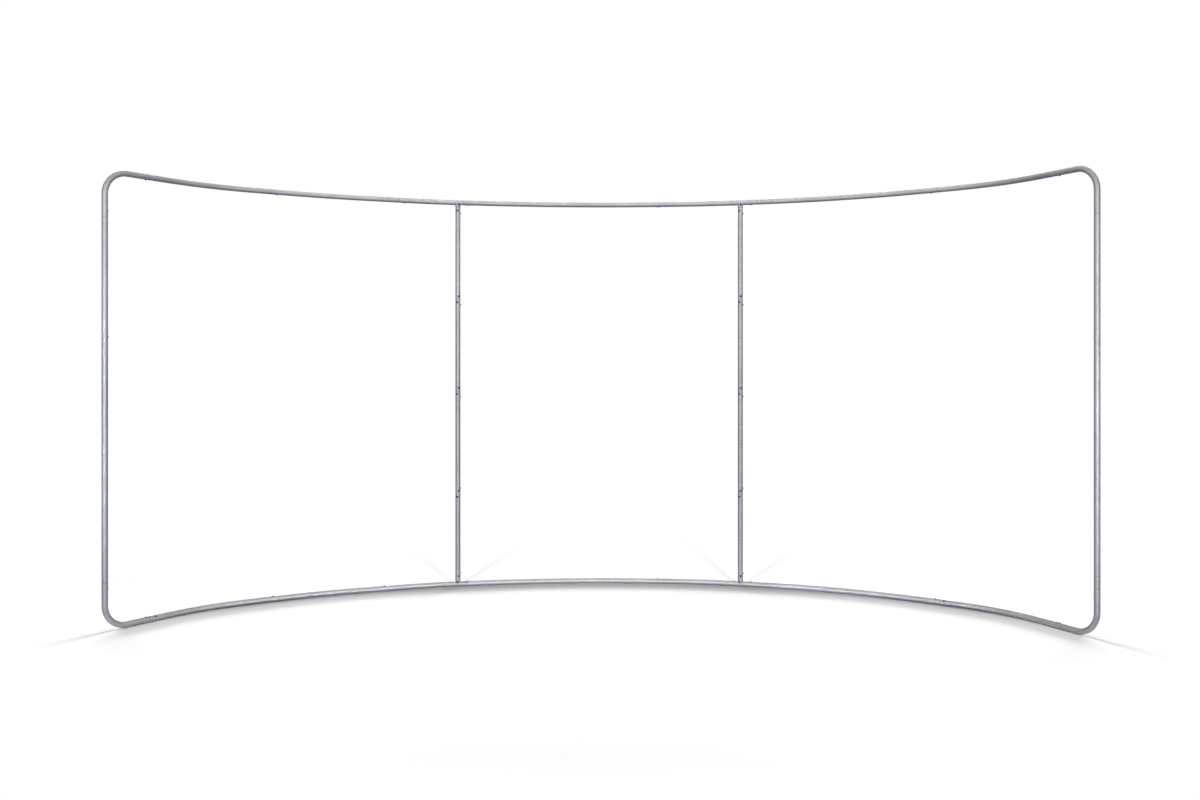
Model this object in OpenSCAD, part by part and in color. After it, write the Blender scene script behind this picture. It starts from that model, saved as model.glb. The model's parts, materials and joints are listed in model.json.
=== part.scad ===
// Pop up display backwall: the bare tube frame that a stretch cover is pulled over.
//
// Two curved rails, one on the floor and one overhead, run between two end posts
// through four bent corners, with two uprights in between. Every rail, post and
// upright is made of short tubes that plug into each other: one end of a joint is
// necked down to a spigot, which slides into the plain end of the next tube until a
// spring button in the spigot snaps out through a hole in both walls.
//
// Millimetres. +X runs from the left end post to the right one, +Z is up, and the
// frame is hollow towards -Y, where the viewer stands. The origin is on the floor,
// in the middle of the footprint.

/* [Overall] */
// Height from the floor to the top of the upper rail
frame_h = 2337; // [2200:1:2450]
// Outside diameter of every tube
tube_d = 30; // [28:0.5:33]
// Wall thickness of every tube
tube_wall = 1.5; // [1.2:0.1:1.8]

/* [Corners] */
// Length of a corner along the rail, from the post's centreline to its seam
corner_arm = 256; // [220:1:300]
// Length of a corner along the post, from the rail's centreline to its seam
corner_leg = 235; // [210:1:280]
// Bend radius of a corner, at the tube's centreline
corner_bend_r = 118; // [90:1:130]

/* [Rail tube lengths] */
// Rail tube 1, seam to seam in the lower rail, numbered from the left
rail_1_len = 650; // [560:1:740]
// Rail tube 2
rail_2_len = 640; // [560:1:720]
// Rail tube 3, which carries the left upright
rail_3_len = 500; // [470:1:580]
// Rail tube 4, in the middle
rail_4_len = 1223; // [1000:1:1400]
// Rail tube 5, which carries the right upright
rail_5_len = 500; // [440:1:580]
// Rail tube 6
rail_6_len = 1143; // [1000:1:1300]
// Rail tube 7
rail_7_len = 659; // [560:1:740]
// How much further right seam 2 lies in the upper rail than in the lower one
upper_seam_2_shift = 22; // [0:1:40]
// The same for seam 3
upper_seam_3_shift = 117; // [80:1:130]
// The same for seam 7, which lies further left
upper_seam_7_shift = -23; // [-40:1:0]

/* [Rail tube bends] */
// Bend radius of rail tube 1, at the tube's centreline
rail_1_bend_r = 1120; // [900:10:1500]
// Bend radius of rail tube 2
rail_2_bend_r = 2430; // [1800:10:3500]
// Bend radius of rail tube 3
rail_3_bend_r = 1280; // [1000:10:2200]
// Bend radius of rail tube 4
rail_4_bend_r = 3900; // [3000:10:5000]
// Bend radius of rail tube 5
rail_5_bend_r = 1880; // [1300:10:2600]
// Bend radius of rail tube 6
rail_6_bend_r = 2580; // [2000:10:3500]
// Bend radius of rail tube 7
rail_7_bend_r = 970; // [800:10:1400]
// Straight length left past the spigot or the marker dot at each end of a rail tube
straight_spare = 6; // [4:1:12]
// How much a bend draws the wall thinner, on the inside and on the outside
bend_thinning = 0.05; // [0.03:0.01:0.2]
// How far a bend reaches into the straight tube at each end
bend_overlap = 1; // [0.5:0.5:3]

/* [Posts and uprights] */
// Length of the top tube of an end post
post_top_len = 635; // [550:1:720]
// Length of the middle tube of an end post
post_middle_len = 562; // [480:1:640]
// From a rail's centreline to the seam where an upright plugs on
stub_len = 32; // [30:1:50]
// From an upright's centreline to the rail seam on its right
stub_from_seam = 31; // [26:1:50]
// Length of the top tube of an upright
upright_top_len = 553; // [470:1:640]
// Length of the second tube of an upright
upright_second_len = 554; // [470:1:640]
// Length of the third tube of an upright
upright_third_len = 621; // [540:1:700]

/* [Plug joints] */
// Length of a spigot inside the next tube
spigot_len = 65; // [55:1:75]
// Radial gap between a spigot and the bore it slides into
spigot_clearance = 0.2; // [0.1:0.05:0.3]
// Length over which a tube is necked down to its spigot
neck_len = 2.5; // [1.5:0.5:5]
// Chamfer on a spigot's tip
tip_chamfer = 0.8; // [0.4:0.1:1]
// How deep the weld melts a stub's coped end into the rail's wall
weld_depth = 0.7; // [0.4:0.1:1]

/* [Snap buttons] */
// Diameter of a button
button_d = 8; // [6:0.5:9]
// How far a button stands out of the tube
button_proud = 4.5; // [3:0.5:6]
// Radius of a button's rounded top
button_dome_r = 5.2; // [4.8:0.1:8]
// From a seam to the centre of its button
button_inset = 33; // [30:1:40]
// Radial gap between a button and the holes it stands in
button_clearance = 0.3; // [0.2:0.05:0.5]
// Thickness of the leaf spring under a button
leaf_t = 0.8; // [0.6:0.1:1]
// Width of the leaf spring
leaf_w = 8; // [7:0.5:10]
// Gap between the leaf spring and the inside of the spigot
leaf_gap = 0.3; // [0.2:0.05:0.4]
// From a button's centre to the start of the leaf spring's bend
leaf_len = 22; // [18:1:26]
// Length of leaf past the button
leaf_tail = 2.5; // [1:0.5:5]
// Cut between the moving leaf and the bend
leaf_cut = 0.3; // [0.2:0.05:0.5]
// How far the unseen button of an end post is turned to the back, in degrees
post_button_turn = 60; // [40:5:90]

/* [Marker dots] */
// Diameter of a marker dot
dot_d = 14; // [10:0.5:16]
// Thickness of a marker dot
dot_t = 0.3; // [0.2:0.05:0.4]
// Thickness of glue under a marker dot
dot_glue = 0.05; // [0.03:0.01:0.1]
// From a seam to the middle of its dots
dot_from_seam = 18; // [17:0.5:20]
// From an upright's centreline to the dot on the rail to its left
dot_past_stub = 41; // [30:1:50]
// How far every second dot of the lower rail is turned to the front, in degrees
lower_dot_turn = 34; // [0:1:45]
// How far the dots of the upper rail are turned from below to the front, in degrees
upper_dot_turn = 22; // [0:1:45]
// How far the dots of an upright are turned to either side of its front, in degrees
upright_dot_turn = 16; // [0:1:30]

/* [Hidden] */
TUBE_COLOUR = [0.74, 0.75, 0.78];
BUTTON_COLOUR = [0.33, 0.31, 0.30];
SPRING_COLOUR = [0.55, 0.56, 0.58];
DOT_COLOUR = [0.10, 0.17, 0.52];

tube_r = tube_d / 2;
bore_r = tube_r - tube_wall;
spigot_r = bore_r - spigot_clearance;
spigot_bore_r = spigot_r - tube_wall;
hole_r = button_d / 2 + button_clearance;
button_top = tube_r + button_proud;

// The leaf spring's outer face, as high as its width lets it lie in the spigot
leaf_z = sqrt(pow(spigot_bore_r, 2) - pow(leaf_w / 2, 2)) - leaf_gap;
// Where the leaf spring's bend starts, from the seam
leaf_x = button_inset - leaf_len;

lower_z = tube_r;
upper_z = frame_h - tube_r;

// Circle segments of a tube, a button, and a turn along a long or a short bend
tube_fn = 48;
button_fn = 32;
long_bend_fn = 720;
corner_bend_fn = 180;
// How far a cutting tool runs past what it cuts
past = 1;

// ---- Seams. A plug direction is the way the spigot points: +1 right or up, -1 left or down.

RAIL_LENS = [rail_1_len, rail_2_len, rail_3_len, rail_4_len, rail_5_len, rail_6_len, rail_7_len];
RAIL_BENDS = [
  rail_1_bend_r, rail_2_bend_r, rail_3_bend_r, rail_4_bend_r,
  rail_5_bend_r, rail_6_bend_r, rail_7_bend_r
];
RAIL_PLUGS = [-1, 1, 1, 1, -1, 1, -1, 1];
RAIL_SHIFTS = [0, upper_seam_2_shift, upper_seam_3_shift, 0, 0, 0, upper_seam_7_shift, 0];
LAST = len(RAIL_LENS);

function lower_seam(i) = i == 0 ? corner_arm : lower_seam(i - 1) + RAIL_LENS[i - 1];
function seam(i, upper) = lower_seam(i) + (upper ? RAIL_SHIFTS[i] : 0);
rail_total = lower_seam(LAST) + corner_arm;

// The seams that an upright stands to the left of
UPRIGHT_SEAMS = [3, 5];
function upright_s(u) = lower_seam(UPRIGHT_SEAMS[u]) - stub_from_seam;
function by_upright(i) = len(search(i, UPRIGHT_SEAMS)) > 0;

// Heights of the seams of an end post and of an upright, from the lowest up
post_top_z = upper_z - corner_leg;
POST_SEAMS = [
  lower_z + corner_leg,
  post_top_z - post_top_len - post_middle_len,
  post_top_z - post_top_len,
  post_top_z
];
POST_PLUGS = [-1, 1, 1, 1];
POST_TURNS = [0, post_button_turn, 0, 0];

upright_top_z = upper_z - stub_len;
UPRIGHT_SEAM_ZS = [
  lower_z + stub_len,
  upright_top_z - upright_top_len - upright_second_len - upright_third_len,
  upright_top_z - upright_top_len - upright_second_len,
  upright_top_z - upright_top_len,
  upright_top_z
];
UPRIGHT_PLUGS = [1, 1, -1, -1, -1];

// ---- The plan curve that both rails follow: straight through each joint, bent between.

joint_straight = max(spigot_len, stub_from_seam + dot_past_stub + dot_d / 2) + straight_spare;

function zone(i) = [
  i == 0 ? 0 : min(seam(i, false), seam(i, true)) - joint_straight,
  i == LAST ? rail_total : max(seam(i, false), seam(i, true)) + joint_straight
];

// Each leg is [where it starts, where it ends, its bend radius or 0 where straight]
LEGS = [
  for (k = [0 : 2 * LAST])
    let (i = floor(k / 2))
      k % 2 == 0
        ? [zone(i)[0], zone(i)[1], 0]
        : [zone(i)[1], zone(i + 1)[0], RAIL_BENDS[i]]
];

// A place is [x, y, heading]. Along a bend the heading turns clockwise, to the front.
function advance(p, run, r) =
  let (h = r == 0 ? p[2] : p[2] - run / r * 180 / PI)
    r == 0
      ? [p[0] + run * cos(h), p[1] + run * sin(h), h]
      : [p[0] + r * (sin(p[2]) - sin(h)), p[1] - r * (cos(p[2]) - cos(h)), h];

function knots(p, i = 0) = i == len(LEGS)
  ? [p]
  : concat([p], knots(advance(p, LEGS[i][1] - LEGS[i][0], LEGS[i][2]), i + 1));

// The end posts stand on a line along X, and the bend's furthest point sets the depth
TRIAL_END = knots([0, 0, 0])[len(LEGS)];
start_heading = -atan2(TRIAL_END[1], TRIAL_END[0]);
chord = norm([TRIAL_END[0], TRIAL_END[1]]);
TRIAL_KNOTS = knots([0, 0, start_heading]);
plan_depth = max([
  for (i = [0 : len(LEGS) - 1])
    let (p = TRIAL_KNOTS[i], q = TRIAL_KNOTS[i + 1])
      p[2] > 0 && q[2] < 0 ? p[1] + LEGS[i][2] * (1 - cos(p[2])) : max(p[1], q[1])
]);
KNOTS = knots([-chord / 2, -plan_depth / 2, start_heading]);

function leg_at(s, i = 0) = i == len(LEGS) - 1 || s <= LEGS[i][1] ? i : leg_at(s, i + 1);
function place(s) = let (i = leg_at(s)) advance(KNOTS[i], s - LEGS[i][0], LEGS[i][2]);

// ---- Frames of reference. In each, x runs along the tube and z is the way a button points.

// On a rail: x to the right, z towards the inside of the frame
module on_rail(s, upper) {
  p = place(s);
  translate([p[0], p[1], upper ? upper_z : lower_z])
    rotate([upper ? 180 : 0, 0, p[2]])
      children();
}

// On a vertical tube: x up, z along the given heading
module on_vertical(p, heading, z) {
  translate([p[0], p[1], z])
    rotate([180, -90, heading])
      children();
}

module on_upright(u, z) {
  p = place(upright_s(u));
  on_vertical(p, p[2], z) children();
}

// An end post's inner side is where its rail leaves
module on_post(right, z) {
  p = place(right ? rail_total : 0);
  on_vertical(p, p[2] + (right ? 180 : 0), z) children();
}

module facing(way) {
  mirror([way < 0 ? 1 : 0, 0, 0]) children();
}

// ---- Tubes

module ring(outer, inner) {
  difference() {
    circle(outer, $fn = tube_fn);
    circle(inner, $fn = tube_fn);
  }
}

// A straight stretch of tube along x
module straight_tube(from, to) {
  translate([from, 0, 0])
    rotate([0, 90, 0])
      linear_extrude(to - from)
        ring(tube_r, bore_r);
}

// The bent part of rail tube n, which reaches a little way into the straight ends
module rail_bend(n, z) {
  leg = LEGS[2 * n - 1];
  bend_r = leg[2];
  a = advance(place(leg[0]), -bend_overlap, bend_r);
  b = advance(place(leg[1]), bend_overlap, bend_r);
  translate([a[0] + bend_r * sin(a[2]), a[1] - bend_r * cos(a[2]), z])
    rotate([0, 0, b[2] + 90])
      rotate_extrude(angle = a[2] - b[2], $fn = long_bend_fn)
        translate([bend_r, 0])
          ring(tube_r - bend_thinning, bore_r + bend_thinning);
}

// A neck and spigot along +x, with the seam at x = 0
module spigot() {
  rotate([0, 90, 0])
    rotate_extrude($fn = tube_fn)
      polygon([
        [bore_r, -neck_len],
        [tube_r, -neck_len],
        [spigot_r, 0],
        [spigot_r, spigot_len - tip_chamfer],
        [spigot_r - tip_chamfer, spigot_len],
        [spigot_bore_r, spigot_len],
        [spigot_bore_r, 0]
      ]);
}

// The hole that a joint's button stands in, through one side of the tube
module button_hole(way) {
  facing(way)
    translate([button_inset, 0, spigot_bore_r / 2])
      cylinder(h = button_top, r = hole_r, $fn = button_fn);
}

module corner(right, upper) {
  p = place(right ? rail_total : 0);
  bend_z = lower_z + corner_bend_r;
  inward = right ? 180 : 0;
  color(TUBE_COLOUR)
    difference() {
      translate([p[0], p[1], upper ? frame_h : 0])
        mirror([0, 0, upper ? 1 : 0])
          rotate([0, 0, p[2] + inward]) {
            translate([0, 0, lower_z])
              straight_tube(corner_bend_r, corner_arm);
            translate([corner_bend_r, 0, bend_z])
              rotate([90, 0, 0])
                rotate([0, 0, 180])
                  rotate_extrude(angle = 90, $fn = corner_bend_fn)
                    translate([corner_bend_r, 0])
                      ring(tube_r, bore_r);
            translate([0, 0, bend_z])
              linear_extrude(corner_leg - corner_bend_r)
                ring(tube_r, bore_r);
          }
      i = right ? LAST : 0;
      on_rail(seam(i, upper), upper)
        button_hole(RAIL_PLUGS[i]);
      j = upper ? len(POST_SEAMS) - 1 : 0;
      on_post(right, POST_SEAMS[j])
        button_hole(POST_PLUGS[j]);
    }
}

// Rail tube n, from seam n - 1 to seam n, counting seams from 0, with the stub welded to it
module rail_tube(n, upper) {
  from = seam(n - 1, upper);
  to = seam(n, upper);
  bend = LEGS[2 * n - 1];
  left_spigot = RAIL_PLUGS[n - 1] < 0;
  right_spigot = RAIL_PLUGS[n] > 0;
  color(TUBE_COLOUR)
    difference() {
      union() {
        rail_bend(n, upper ? upper_z : lower_z);
        on_rail(from, upper) {
          straight_tube(left_spigot ? neck_len : 0, bend[0] - from);
          if (left_spigot)
            facing(-1) spigot();
        }
        on_rail(to, upper) {
          straight_tube(bend[1] - to, right_spigot ? -neck_len : 0);
          if (right_spigot)
            spigot();
        }
        for (u = [0, 1])
          if (UPRIGHT_SEAMS[u] == n)
            stub(u, upper);
      }
      on_rail(from, upper) button_hole(RAIL_PLUGS[n - 1]);
      on_rail(to, upper) button_hole(RAIL_PLUGS[n]);
    }
}

// A straight tube along x from one seam to the next, with the two plug directions
// and how far each joint's button is turned
module plug_tube(length, plugs, turns) {
  low_spigot = plugs[0] < 0;
  high_spigot = plugs[1] > 0;
  difference() {
    union() {
      straight_tube(low_spigot ? neck_len : 0, length - (high_spigot ? neck_len : 0));
      if (low_spigot)
        facing(-1) spigot();
      if (high_spigot)
        translate([length, 0, 0]) spigot();
    }
    rotate([turns[0], 0, 0])
      button_hole(plugs[0]);
    translate([length, 0, 0])
      rotate([turns[1], 0, 0])
        button_hole(plugs[1]);
  }
}

module post(right) {
  side = right ? -1 : 1;
  color(TUBE_COLOUR)
    for (k = [0 : len(POST_SEAMS) - 2])
      on_post(right, POST_SEAMS[k])
        plug_tube(
          POST_SEAMS[k + 1] - POST_SEAMS[k],
          [POST_PLUGS[k], POST_PLUGS[k + 1]],
          [side * POST_TURNS[k], side * POST_TURNS[k + 1]]
        );
}

module upright(u) {
  color(TUBE_COLOUR)
    for (k = [0 : len(UPRIGHT_SEAM_ZS) - 2])
      on_upright(u, UPRIGHT_SEAM_ZS[k])
        plug_tube(
          UPRIGHT_SEAM_ZS[k + 1] - UPRIGHT_SEAM_ZS[k],
          [UPRIGHT_PLUGS[k], UPRIGHT_PLUGS[k + 1]],
          [0, 0]
        );
}

// The stub that an upright plugs on. Its end is coped to the rail, and the weld melts it
// into the rail's wall.
module stub(u, upper) {
  seam_z = upper ? upright_top_z : UPRIGHT_SEAM_ZS[0];
  way = upper ? -1 : 1;
  difference() {
    on_upright(u, seam_z)
      facing(way) {
        straight_tube(-stub_len, -neck_len);
        spigot();
      }
    on_rail(upright_s(u), upper)
      rotate([0, 90, 0])
        cylinder(h = 2 * tube_d, r = tube_r - weld_depth, center = true, $fn = tube_fn);
    on_upright(u, seam_z)
      button_hole(way);
  }
}

// ---- Snap buttons and their springs

// The part that moves: the button, riveted on the upper leaf of its spring
module button() {
  pin_from = leaf_z - leaf_t;
  color(BUTTON_COLOUR)
    translate([button_inset, 0, 0]) {
      intersection() {
        translate([0, 0, pin_from])
          cylinder(h = button_top - pin_from, r = button_d / 2, $fn = button_fn);
        union() {
          translate([0, 0, button_top - button_dome_r])
            sphere(r = button_dome_r, $fn = button_fn);
          translate([0, 0, pin_from - past])
            cylinder(h = button_top - button_dome_r - pin_from + past, r = button_d, $fn = button_fn);
        }
      }
      translate([-leaf_len, -leaf_w / 2, pin_from])
        cube([leaf_len + button_d / 2 + leaf_tail, leaf_w, leaf_t]);
    }
}

// The part that stays: the bend and the lower leaf, which rests on the far wall
module spring_leg() {
  color(SPRING_COLOUR)
    translate([leaf_x - leaf_cut, 0, 0]) {
      rotate([90, 0, 0])
        rotate([0, 0, 90])
          rotate_extrude(angle = 180, $fn = tube_fn)
            translate([leaf_z - leaf_t, -leaf_w / 2])
              square([leaf_t, leaf_w]);
      translate([0, -leaf_w / 2, -leaf_z])
        cube([leaf_len + leaf_cut + button_d / 2 + leaf_tail, leaf_w, leaf_t]);
    }
}

module at_rail_joint(i, upper) {
  on_rail(seam(i, upper), upper)
    facing(RAIL_PLUGS[i])
      children();
}

module at_post_joint(i, right) {
  on_post(right, POST_SEAMS[i])
    rotate([(right ? -1 : 1) * POST_TURNS[i], 0, 0])
      facing(POST_PLUGS[i])
        children();
}

module at_upright_joint(i, u) {
  on_upright(u, UPRIGHT_SEAM_ZS[i])
    facing(UPRIGHT_PLUGS[i])
      children();
}

module button_springs() {
  for (side = [false, true]) {
    for (i = [0 : LAST])
      at_rail_joint(i, side) spring_leg();
    for (i = [0 : len(POST_SEAMS) - 1])
      at_post_joint(i, side) spring_leg();
  }
  for (u = [0, 1], i = [0 : len(UPRIGHT_SEAM_ZS) - 1])
    at_upright_joint(i, u) spring_leg();
}

// ---- Marker dots: plain round labels on both sides of a seam

// A dot bent round the tube at x, on the side that z points to after the turn
module dot(x, turn) {
  rotate([turn, 0, 0])
    translate([x, 0, 0])
      intersection() {
        rotate([0, 90, 0])
          linear_extrude(2 * dot_d, center = true)
            ring(tube_r + dot_glue + dot_t, tube_r + dot_glue);
        cylinder(h = tube_d, r = dot_d / 2, $fn = tube_fn);
      }
}

module rail_dots(upper) {
  color(DOT_COLOUR)
    for (i = [0 : LAST], side = [-1, 1]) {
      behind_stub = side < 0 && by_upright(i);
      x = behind_stub ? -stub_from_seam - dot_past_stub : side * dot_from_seam;
      turn = upper ? -upper_dot_turn : side > 0 && i % 3 == 0 ? lower_dot_turn : 0;
      on_rail(seam(i, upper), upper) dot(x, turn);
    }
}

module upright_dots() {
  color(DOT_COLOUR)
    for (u = [0, 1], z = UPRIGHT_SEAM_ZS, side = [-1, 1])
      on_upright(u, z) dot(side * dot_from_seam, side * upright_dot_turn - 90);
}

// ---- Nodes

SIDES = ["left", "right"];
RAILS = ["bottom", "top"];

for (r = [0, 1], s = [0, 1])
  corner(s == 1, r == 1);
for (r = [0, 1], n = [1 : LAST])
  rail_tube(n, r == 1);
for (s = [0, 1])
  post(s == 1);
for (s = [0, 1])
  upright(s);
button_springs();
for (r = [0, 1])
  rail_dots(r == 1);
upright_dots();
for (r = [0, 1], i = [0 : LAST])
  at_rail_joint(i, r == 1) button();
for (s = [0, 1], i = [0 : len(POST_SEAMS) - 1])
  at_post_joint(i, s == 1) button();
for (s = [0, 1], i = [0 : len(UPRIGHT_SEAM_ZS) - 1])
  at_upright_joint(i, s) button();
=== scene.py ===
import json
import math

import bpy
import numpy as np
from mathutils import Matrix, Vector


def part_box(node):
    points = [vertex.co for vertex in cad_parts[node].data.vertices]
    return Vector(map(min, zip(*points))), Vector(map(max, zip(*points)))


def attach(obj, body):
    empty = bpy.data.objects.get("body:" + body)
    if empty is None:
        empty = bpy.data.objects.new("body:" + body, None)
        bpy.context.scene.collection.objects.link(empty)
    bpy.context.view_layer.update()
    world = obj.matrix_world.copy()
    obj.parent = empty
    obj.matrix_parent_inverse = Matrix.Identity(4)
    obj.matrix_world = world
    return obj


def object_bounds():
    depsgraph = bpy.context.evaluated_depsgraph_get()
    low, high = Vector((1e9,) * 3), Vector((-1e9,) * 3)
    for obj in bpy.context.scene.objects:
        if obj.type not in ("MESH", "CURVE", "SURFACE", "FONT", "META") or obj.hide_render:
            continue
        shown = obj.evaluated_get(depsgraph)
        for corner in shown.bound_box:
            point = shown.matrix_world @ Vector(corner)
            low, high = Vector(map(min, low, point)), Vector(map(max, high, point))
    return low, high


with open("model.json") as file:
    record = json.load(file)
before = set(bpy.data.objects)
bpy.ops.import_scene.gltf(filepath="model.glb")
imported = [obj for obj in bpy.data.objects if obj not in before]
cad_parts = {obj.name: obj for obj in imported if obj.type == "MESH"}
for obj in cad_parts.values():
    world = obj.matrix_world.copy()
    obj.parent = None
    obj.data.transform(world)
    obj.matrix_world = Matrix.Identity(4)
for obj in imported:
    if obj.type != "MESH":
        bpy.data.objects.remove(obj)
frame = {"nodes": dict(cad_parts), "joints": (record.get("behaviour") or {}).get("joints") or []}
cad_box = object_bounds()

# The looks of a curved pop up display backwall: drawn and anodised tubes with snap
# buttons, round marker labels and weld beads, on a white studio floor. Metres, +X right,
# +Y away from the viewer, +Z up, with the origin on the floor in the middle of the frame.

MM = 0.001
TUBE_R = 15 * MM
FRAME_BODY = "frame"


# ---- Shader nodes and colours


def linear(hex_code):
    """An sRGB hex code as linear RGBA."""
    s = np.array([int(hex_code[i : i + 2], 16) for i in (1, 3, 5)]) / 255
    return (*np.where(s <= 0.04045, s / 12.92, ((s + 0.055) / 1.055) ** 2.4).tolist(), 1.0)


def add(tree, kind, settings=None, links=None):
    """Adds a shader node, sets its options and input values, and links its inputs."""
    node = tree.nodes.new("ShaderNode" + kind)
    for name, value in (settings or {}).items():
        if isinstance(name, str) and hasattr(node, name):
            setattr(node, name, value)
        else:
            node.inputs[name].default_value = value
    for name, source in (links or {}).items():
        tree.links.new(source, node.inputs[name])
    return node


def material(name):
    """An empty node material and its tree."""
    made = bpy.data.materials.new(name)
    made.use_nodes = True
    made.node_tree.nodes.clear()
    return made, made.node_tree


def ramp(tree, source, stops):
    """A colour ramp over source, from (position, hex colour) pairs."""
    node = add(tree, "ValToRGB", links={"Fac": source})
    ends = node.color_ramp.elements
    while len(ends) < len(stops):
        ends.new(0.5)
    for end, (position, hex_code) in zip(ends, stops):
        end.position = position
        end.color = linear(hex_code)
    return node


def per_mm(size):
    """The noise scale at which one feature is about this many millimetres across."""
    return 1 / (size * MM)


# ---- Materials


def anodised_tube(name, along):
    """Aluminium tube, drawn and clear anodised. The die leaves fine lines along the tube, the
    acid etch before the anodising makes the surface satin, and the oxide dulls the metal
    to an even pale grey. along says how much longer the lines are than wide on X, Y, Z."""
    made, tree = material(name)
    place = add(tree, "TexCoord").outputs["Object"]
    stretch = add(tree, "Mapping", {"Scale": [1 / a for a in along]}, {"Vector": place})
    # Real die lines are 0.2 mm apart: drawn 3 mm apart, so that they show at all
    lines = add(tree, "TexNoise", {"Scale": per_mm(3), "Detail": 3.0, "Roughness": 0.6},
                {"Vector": stretch.outputs["Vector"]})
    # The oxide's tone wanders a little over a hand's length
    cloud = add(tree, "TexNoise", {"Scale": per_mm(180), "Detail": 2.0}, {"Vector": place})
    # Handling leaves faint duller smears about 25 mm across
    smear = add(tree, "TexNoise", {"Scale": per_mm(25), "Detail": 4.0, "Roughness": 0.7},
                {"Vector": place})
    tone = add(tree, "Math", {"operation": "MULTIPLY_ADD", 1: 0.35},
               {0: lines.outputs["Fac"], 2: cloud.outputs["Fac"]})
    colour = ramp(tree, tone.outputs["Value"],
                  [(0.45, "#a5a8ae"), (0.7, "#adb0b6"), (0.95, "#b4b7bd")])
    dull = add(tree, "MapRange", {1: 0.35, 2: 0.75, 3: 0.6, 4: 0.68},
               {0: smear.outputs["Fac"]})
    bump = add(tree, "Bump", {"Strength": 0.08, "Distance": 0.02 * MM},
               {"Height": lines.outputs["Fac"]})
    skin = add(tree, "BsdfPrincipled", {"Metallic": 1.0},
               {"Base Color": colour.outputs["Color"], "Roughness": dull.outputs["Result"],
                "Normal": bump.outputs["Normal"]})
    add(tree, "OutputMaterial", links={"Surface": skin.outputs["BSDF"]})
    return made


def plated_button():
    """Steel pin, turned and dull nickel plated: darker and browner than the tube, with a fine
    random grain in its tone and gloss."""
    made, tree = material("turned_steel_dull_nickel")
    place = add(tree, "TexCoord").outputs["Object"]
    grain = add(tree, "TexNoise", {"Scale": per_mm(1.5), "Detail": 4.0}, {"Vector": place})
    colour = ramp(tree, grain.outputs["Fac"], [(0.3, "#3d362f"), (0.7, "#5e554b")])
    dull = add(tree, "MapRange", {1: 0.3, 2: 0.7, 3: 0.3, 4: 0.45}, {0: grain.outputs["Fac"]})
    bump = add(tree, "Bump", {"Strength": 0.1, "Distance": 0.02 * MM},
               {"Height": grain.outputs["Fac"]})
    skin = add(tree, "BsdfPrincipled", {"Metallic": 1.0},
               {"Base Color": colour.outputs["Color"], "Roughness": dull.outputs["Result"],
                "Normal": bump.outputs["Normal"]})
    add(tree, "OutputMaterial", links={"Surface": skin.outputs["BSDF"]})
    return made


def spring_steel():
    """Spring steel strip, rolled and tempered: a grey-straw oxide in soft patches."""
    made, tree = material("spring_steel_tempered_strip")
    place = add(tree, "TexCoord").outputs["Object"]
    patch = add(tree, "TexNoise", {"Scale": per_mm(6), "Detail": 3.0}, {"Vector": place})
    colour = ramp(tree, patch.outputs["Fac"], [(0.3, "#7d7a74"), (0.7, "#9a948a")])
    dull = add(tree, "MapRange", {3: 0.28, 4: 0.42}, {0: patch.outputs["Fac"]})
    skin = add(tree, "BsdfPrincipled", {"Metallic": 1.0},
               {"Base Color": colour.outputs["Color"], "Roughness": dull.outputs["Result"]})
    add(tree, "OutputMaterial", links={"Surface": skin.outputs["BSDF"]})
    return made


def blue_label():
    """Vinyl label, printed plain blue and die cut: smooth and half glossy, with the ink's
    faint mottle and the orange peel of the glue under the film."""
    made, tree = material("vinyl_label_printed_blue")
    place = add(tree, "TexCoord").outputs["Object"]
    mottle = add(tree, "TexNoise", {"Scale": per_mm(2.5), "Detail": 3.0}, {"Vector": place})
    colour = ramp(tree, mottle.outputs["Fac"], [(0.3, "#1c2f86"), (0.7, "#2a3f9c")])
    peel = add(tree, "Bump", {"Strength": 0.15, "Distance": 0.03 * MM},
               {"Height": mottle.outputs["Fac"]})
    skin = add(tree, "BsdfPrincipled", {"Roughness": 0.38, "IOR": 1.5},
               {"Base Color": colour.outputs["Color"], "Normal": peel.outputs["Normal"]})
    add(tree, "OutputMaterial", links={"Surface": skin.outputs["BSDF"]})
    return made


def weld_metal():
    """Aluminium filler laid by hand with an arc and anodised with the tube: the same grey,
    lighter and darker in fine random specks, and pitted by the same grit."""
    made, tree = material("aluminium_weld_bead_anodised")
    place = add(tree, "TexCoord").outputs["Object"]
    grit = add(tree, "TexNoise", {"Scale": per_mm(2), "Detail": 4.0}, {"Vector": place})
    colour = ramp(tree, grit.outputs["Fac"], [(0.3, "#8e9096"), (0.7, "#bcc0c6")])
    bump = add(tree, "Bump", {"Strength": 0.3, "Distance": 0.05 * MM},
               {"Height": grit.outputs["Fac"]})
    skin = add(tree, "BsdfPrincipled", {"Metallic": 1.0, "Roughness": 0.42},
               {"Base Color": colour.outputs["Color"], "Normal": bump.outputs["Normal"]})
    add(tree, "OutputMaterial", links={"Surface": skin.outputs["BSDF"]})
    return made


LINE = 60  # a die line is this many times longer than wide
flat_tube = anodised_tube("aluminium_tube_drawn_anodised_level", (LINE, LINE, 1))
tall_tube = anodised_tube("aluminium_tube_drawn_anodised_upright", (1, 1, LINE))
bent_tube = anodised_tube("aluminium_tube_drawn_anodised_bent", (4, 4, 4))
button_metal = plated_button()
spring_metal = spring_steel()
label_vinyl = blue_label()
bead_metal = weld_metal()


def finish_for(node):
    """The material of a node of the model."""
    if node.endswith("_dots"):
        return label_vinyl
    if node == "button_springs":
        return spring_metal
    if node.startswith("button_"):
        return button_metal
    if node.startswith("corner_"):
        return bent_tube
    return flat_tube if "_rail_" in node else tall_tube


for node, obj in frame["nodes"].items():
    obj.data.materials.clear()
    obj.data.materials.append(finish_for(node))


# ---- Weld beads

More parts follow.
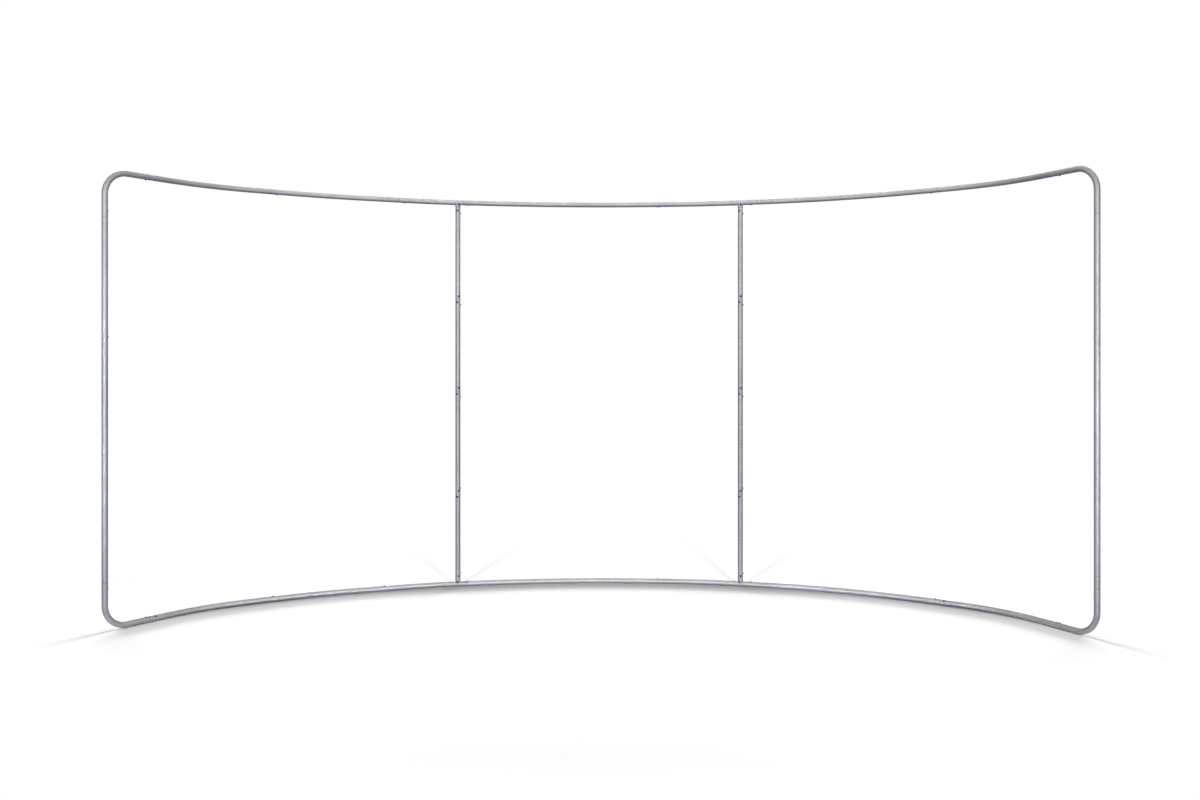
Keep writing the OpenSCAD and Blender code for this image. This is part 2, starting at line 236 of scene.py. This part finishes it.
BEAD_R = 2.0 * MM
STAND_OFF = 0.5 * MM  # of the bead's middle line from the stub
RIPPLE = 0.22 * MM  # how far a ripple stands out
RIPPLES = 55  # round one bead, about 2 mm apart
BEAD_STEPS, BEAD_SIDES = 480, 14


def tube_along(name, path, radius, sides):
    """A closed ring swept round a closed path. path is an (n, 3) array and radius an (n,)
    array: ring point j of path point i is path[i] + radius[i] (cos a_j N_i + sin a_j B_i),
    where N and B complete the path's own direction."""
    ahead = np.roll(path, -1, 0) - np.roll(path, 1, 0)
    ahead /= np.linalg.norm(ahead, axis=1)[:, None]
    out = path - path.mean(0)
    side = np.cross(ahead, out)
    side /= np.linalg.norm(side, axis=1)[:, None]
    out = np.cross(side, ahead)
    a = np.linspace(0, 2 * np.pi, sides, endpoint=False)
    ring = np.cos(a)[None, :, None] * out[:, None] + np.sin(a)[None, :, None] * side[:, None]
    points = path[:, None] + radius[:, None, None] * ring
    n = len(path)
    i, j = np.meshgrid(np.arange(n), np.arange(sides), indexing="ij")
    i2, j2 = (i + 1) % n, (j + 1) % sides
    quads = np.stack([i * sides + j, i * sides + j2, i2 * sides + j2, i2 * sides + j], -1)
    mesh = bpy.data.meshes.new(name)
    mesh.from_pydata(points.reshape(-1, 3), [], quads.reshape(-1, 4))
    mesh.shade_smooth()
    made = bpy.data.objects.new(name, mesh)
    bpy.context.scene.collection.objects.link(made)
    return made


def weld_bead(name, centre, heading, up):
    """The bead round a stub on a rail of the same diameter. Where two tubes of radius r
    cross, the seam over the stub's own circle (r cos t, r sin t) lies at r |cos t| above
    the rail's centreline. The bead follows it, rounded at the two low points, and swells
    and shrinks by its ripples."""
    t = np.linspace(0, 2 * np.pi, BEAD_STEPS, endpoint=False)
    low = 0.16  # how far the low points are rounded up, as a share of r
    rise = TUBE_R * np.sqrt(np.cos(t) ** 2 + low**2) / math.sqrt(1 + low**2)
    out = TUBE_R + STAND_OFF
    local = np.stack([out * np.cos(t), out * np.sin(t), up * rise], 1)
    c, s = math.cos(heading), math.sin(heading)
    turned = np.stack([local[:, 0] * c - local[:, 1] * s, local[:, 0] * s + local[:, 1] * c,
                       local[:, 2]], 1)
    radius = BEAD_R + RIPPLE * np.cos(RIPPLES * t)
    bead = tube_along(name, turned + np.array(centre), radius, BEAD_SIDES)
    bead.data.materials.append(bead_metal)
    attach(bead, FRAME_BODY)


rail_heights = {"bottom": TUBE_R, "top": cad_box[1].z - TUBE_R}
for side in ("left", "right"):
    lo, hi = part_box(side + "_upright")
    press = next(j["axis"] for j in frame["joints"] if j["child"] == f"button_{side}_upright_1")
    heading = math.atan2(-press[1], -press[0])
    for rail, up in (("bottom", 1), ("top", -1)):
        centre = ((lo.x + hi.x) / 2, (lo.y + hi.y) / 2, rail_heights[rail])
        weld_bead(f"weld_{rail}_{side}", centre, heading, up)


# ---- Floor, world, painted reflections and lamps

FLOOR = 40  # half the studio floor's side, m
WORLD_LIGHT = 0.08
BACK = 2.9  # how far behind the frame the reflected sheets stand, m
MEET = 2.2  # how far out the sheet behind meets the side sheets, m
WIDE = 4.8  # how far out the side sheets end, m
SIDE_TOP = 3.8  # the side sheets' height, m
HALF_RAIL = 2.32  # how far the lower rail is followed to each side, m
SIDES = (("left", -1), ("right", 1))


def seen_direct_or_mirrored(tree):
    """1 for a ray that shows a surface to the camera, straight or in metal, glass or gloss."""
    path = add(tree, "LightPath")
    first = add(tree, "Math", {"operation": "MAXIMUM"},
                {0: path.outputs["Is Camera Ray"], 1: path.outputs["Is Glossy Ray"]})
    both = add(tree, "Math", {"operation": "MAXIMUM"},
               {0: first.outputs[0], 1: path.outputs["Is Transmission Ray"]})
    return both.outputs[0]


def stage_sheet(name, points, made):
    """A flat sheet of the studio, from its corners in order."""
    mesh = bpy.data.meshes.new(name)
    mesh.from_pydata(points, [], [tuple(range(len(points)))])
    mesh.materials.append(made)
    sheet = bpy.data.objects.new(name, mesh)
    bpy.context.scene.collection.objects.link(sheet)
    return sheet


def studio_floor():
    """White painted studio floor. Close to the frame it is lit and takes the shadow, and
    towards the backdrop it fades to the same plain white. The paint is greyer towards a
    place behind the frame, where the light is strongest, so that all of it comes out just
    white and no whiter."""
    half_x, half_y = 3.7, 2.55  # of the oval that is lit, m
    brightest = 3.5  # how far behind the frame, m
    made, tree = material("white_studio_floor")
    place = add(tree, "TexCoord").outputs["Object"]
    oval = add(tree, "Mapping", {"Scale": (1 / half_x, 1 / half_y, 1)}, {"Vector": place})
    away = add(tree, "VectorMath", {"operation": "LENGTH"}, {0: oval.outputs["Vector"]})
    fade = add(tree, "MapRange", {"interpolation_type": "SMOOTHSTEP", 1: 0.7, 2: 0.95},
               {0: away.outputs["Value"]})
    there = add(tree, "Mapping", {"Location": (0, -brightest, 0), "Scale": (0.9, 1, 1)},
                {"Vector": place})
    off = add(tree, "VectorMath", {"operation": "LENGTH"}, {0: there.outputs["Vector"]})
    band = add(tree, "MapRange", {1: 1.5, 2: 6.4}, {0: off.outputs["Value"]})
    grey = ramp(tree, band.outputs[0],
                [(0.0, "#a0a0a0"), (0.17, "#ababab"), (0.34, "#b1b1b1"), (0.51, "#bababa"),
                 (0.69, "#cecece"), (0.86, "#f1f1f1"), (1.0, "#ffffff")])
    paint = add(tree, "BsdfDiffuse", links={"Color": grey.outputs["Color"]})
    white = add(tree, "Emission", {"Strength": 1.0})
    near_far = add(tree, "MixShader", links={0: fade.outputs[0], 1: paint.outputs[0],
                                             2: white.outputs[0]})
    shown = add(tree, "MixShader", links={0: seen_direct_or_mirrored(tree),
                                          1: paint.outputs[0], 2: near_far.outputs[0]})
    add(tree, "OutputMaterial", links={"Surface": shown.outputs[0]})
    return stage_sheet("studio_floor", level(FLOOR, -FLOOR, FLOOR, 0), made)


def level(x, front, back, z):
    """Corners of a level sheet, as wide to both sides."""
    return [(-x, front, z), (x, front, z), (x, back, z), (-x, back, z)]


def reflection_only_sheet(name, hex_code, points):
    """Painted reflection: a sheet that glows with one flat colour. Only the tubes' gloss sees
    it, the camera does not, and it neither lights nor shades anything. The dark ones stand in
    for drapes hung behind the frame or laid round it, as a photographer places them to give
    bright tubes dark edges on a white ground. The pale ones are painted highlights."""
    made, tree = material(name)
    mirrored_glow = add(tree, "Emission", {"Color": linear(hex_code), "Strength": 1.0})
    add(tree, "OutputMaterial", links={"Surface": mirrored_glow.outputs[0]})
    sheet = stage_sheet(name, points, made)
    sheet.visible_camera = sheet.visible_diffuse = sheet.visible_shadow = False
    sheet.visible_transmission = False


def hung(start, end, top):
    """Corners of an upright sheet that stands on the floor between two places."""
    (x0, y0), (x1, y1) = start, end
    return [(x0, y0, 0), (x1, y1, 0), (x1, y1, top), (x0, y0, top)]


def beside_rail(gap):
    """Floor points along the lower rail, a gap behind its centreline (or before it, where the
    gap is negative). The line is a fifth-degree curve y(x) through the rail's buttons."""
    spots = [sum(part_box(f"button_bottom_rail_{i}"), Vector()) / 2 for i in range(1, 9)]
    curve = np.poly1d(np.polyfit([v.x for v in spots], [v.y for v in spots], 5))
    x = np.linspace(-HALF_RAIL, HALF_RAIL, 60)
    slope = curve.deriv()(x)
    length = np.hypot(1, slope)
    points = [x - gap * slope / length, curve(x) + gap / length, np.full_like(x, MM)]
    return np.stack(points, 1).tolist()


def laid(gap, edge):
    """Corners of a level sheet from the line y = edge up to a gap beside the lower rail."""
    line = beside_rail(gap)
    y = line[0][1]
    return [(-WIDE, edge, MM), (-WIDE, y, MM), *line, (WIDE, y, MM), (WIDE, edge, MM)]


def studio_world():
    """Soft light from all round, and plain white wherever it is seen or mirrored."""
    world = bpy.data.worlds.new("white_studio")
    bpy.context.scene.world = world
    world.use_nodes = True
    tree = world.node_tree
    tree.nodes.clear()
    base = add(tree, "Background", {"Color": linear("#ffffff"), "Strength": WORLD_LIGHT})
    white = add(tree, "Background", {"Color": linear("#ffffff"), "Strength": 1.0})
    shown = add(tree, "MixShader", links={0: seen_direct_or_mirrored(tree),
                                          1: base.outputs[0], 2: white.outputs[0]})
    add(tree, "OutputWorld", links={"Surface": shown.outputs[0]})


def softbox(name, place, target, size, power, spread, colour):
    """A rectangular lamp at place that faces target, with a grid that keeps its light within
    spread degrees."""
    lamp = bpy.data.lights.new(name, "AREA")
    lamp.shape = "RECTANGLE"
    lamp.size, lamp.size_y = size
    lamp.energy = power
    lamp.spread = math.radians(spread)
    lamp.color = linear(colour)[:3]
    obj = bpy.data.objects.new(name, lamp)
    bpy.context.scene.collection.objects.link(obj)
    obj.location = place
    aim = Vector(target) - Vector(place)
    obj.rotation_euler = aim.to_track_quat("-Z", "Y").to_euler()
    obj.visible_camera = False
    return obj


def light_alone(receivers, mirrored, rows):
    """Softboxes that light one collection alone, and are mirrored in it or not. A row holds a
    name, place, target, size, power, spread and one or two colours. A row that is off the
    middle is made on both sides, the left one in its first colour."""
    for name, place, target, size, power, spread, *colours in rows:
        in_middle = place[0] == target[0] == 0
        for side, x in (("", 1),) if in_middle else SIDES:
            lamp = softbox(f"{name}_{side}".rstrip("_"), (x * place[0], *place[1:]),
                           (x * target[0], *target[1:]), size, power, spread,
                           colours[0] if x < 0 else colours[-1])
            lamp.visible_glossy = mirrored
            lamp.light_linking.receiver_collection = receivers


floor = studio_floor()
studio_world()

# Painted reflections, seen only in the tubes. Dark sheets stand behind the frame, at its sides
# and on the floor round it, and darken the tubes' edges and undersides. A pale strip just before
# the lower rail and a warm white sheet overhead are painted highlights on the lower rail's
# underside and on the rails' tops.
reflection_only_sheet("reflected_dark_behind", "#45463f", hung((-MEET, BACK), (MEET, BACK), 2.65))
for side, x in SIDES:
    corner, end = (x * WIDE, -1.0), (x * WIDE, -3.2)
    reflection_only_sheet(f"cloth_{side}", "#433a4b", hung((x * MEET, BACK), corner, SIDE_TOP))
    reflection_only_sheet(f"mirrored_glow_far_{side}", "#433a4b", hung(corner, end, SIDE_TOP))
reflection_only_sheet("reflected_dark_floor_before", "#7b7d88", laid(-0.5, -6.5))
reflection_only_sheet("reflected_dark_floor_behind", "#7b7d88", laid(0.03, BACK))
reflection_only_sheet("reflected_pale_floor_before", "#d0cee0", beside_rail(-0.5) + beside_rail(-0.03)[::-1])
reflection_only_sheet("reflected_highlight_overhead", "#fff0de", level(WIDE, -5, BACK, 4.6))

floor_only = bpy.data.collections.new("floor_only")
floor_only.objects.link(floor)
all_but_floor = bpy.data.collections.new("all_but_floor")
all_but_floor.objects.link(floor)
all_but_floor.collection_objects[0].light_linking.link_state = "EXCLUDE"

light_alone(all_but_floor, True, [
    # The two main lamps, and two that light the tubes' outer sides
    ("front", (2.06, -5.8, 1.3), (-0.2, 0.6, 1.2), (1.6, 1.3), 112, 180, "#f6f6ff", "#fffcf4"),
    ("side", (4.4, -4.4, 2.2), (0, 0, 1.2), (1.2, 1.0), 20, 180, "#ffffff"),
    # The bright line down each end post
    ("post", (2.4, -3.2, 1.1), (2.46, -0.62, 1.1), (0.3, 1.2), 1.2, 30, "#e8f4ff"),
    # The upper rail's back and top
    ("back", (2.7, 1.7, 3.4), (1.5, 0.1, 2.3), (3.0, 0.5), 11, 48, "#fff2e6"),
    ("back_middle", (0, 2.5, 3.4), (0, 0.5, 2.3), (2.6, 0.5), 6, 48, "#fff2e6"),
    ("over_rail", (0, -0.4, 4.5), (0, 0.3, 2.34), (5.2, 0.3), 6, 40, "#fff0e0"),
    # The lower rail's front, from just over the floor
    ("low", (1.2, -0.65, 0.12), (1.6, 0.05, 0), (1.6, 0.08), 0.4, 26, "#f4f2ff"),
    ("low_middle", (0, -0.1, 0.12), (0, 0.61, 0), (1.6, 0.08), 0.28, 26, "#f4f2ff"),
])
light_alone(floor_only, False, [
    # Long and low, far behind: the soft shadow before the lower rail
    ("wash", (6.0, 8.5, 1.4), (1.8, -0.4, 0.9), (9.0, 1.0), 5200, 180, "#ffffff"),
    ("low_back", (0, 6.0, 2.2), (0, 0, 0), (10.0, 0.8), 420, 180, "#ffffff"),
    # The streaks behind the uprights, and off the lower corners
    ("streak", (1.9, -5.8, 3.3), (0, 0.9, 0), (0.35, 0.35), 17, 36, "#ffffff"),
    ("corner", (0, 3.6, 3.2), (2.75, -1.1, 0), (1.8, 0.6), 18, 40, "#ffffff"),
])


# ---- Camera, matched to the photograph's rails, posts and uprights

camera_data = bpy.data.cameras.new("camera")
camera_data.sensor_width = 36
camera_data.lens = 31.557
camera_data.shift_y = -0.032
camera_data.clip_end = 200
camera = bpy.data.objects.new("camera", camera_data)
bpy.context.scene.collection.objects.link(camera)
camera.location = (0.1767, -5.8369, 1.3604)
camera.rotation_euler = (math.radians(90), 0, math.radians(1.63))
bpy.context.scene.camera = camera
bpy.context.scene.view_settings.view_transform = "Standard"
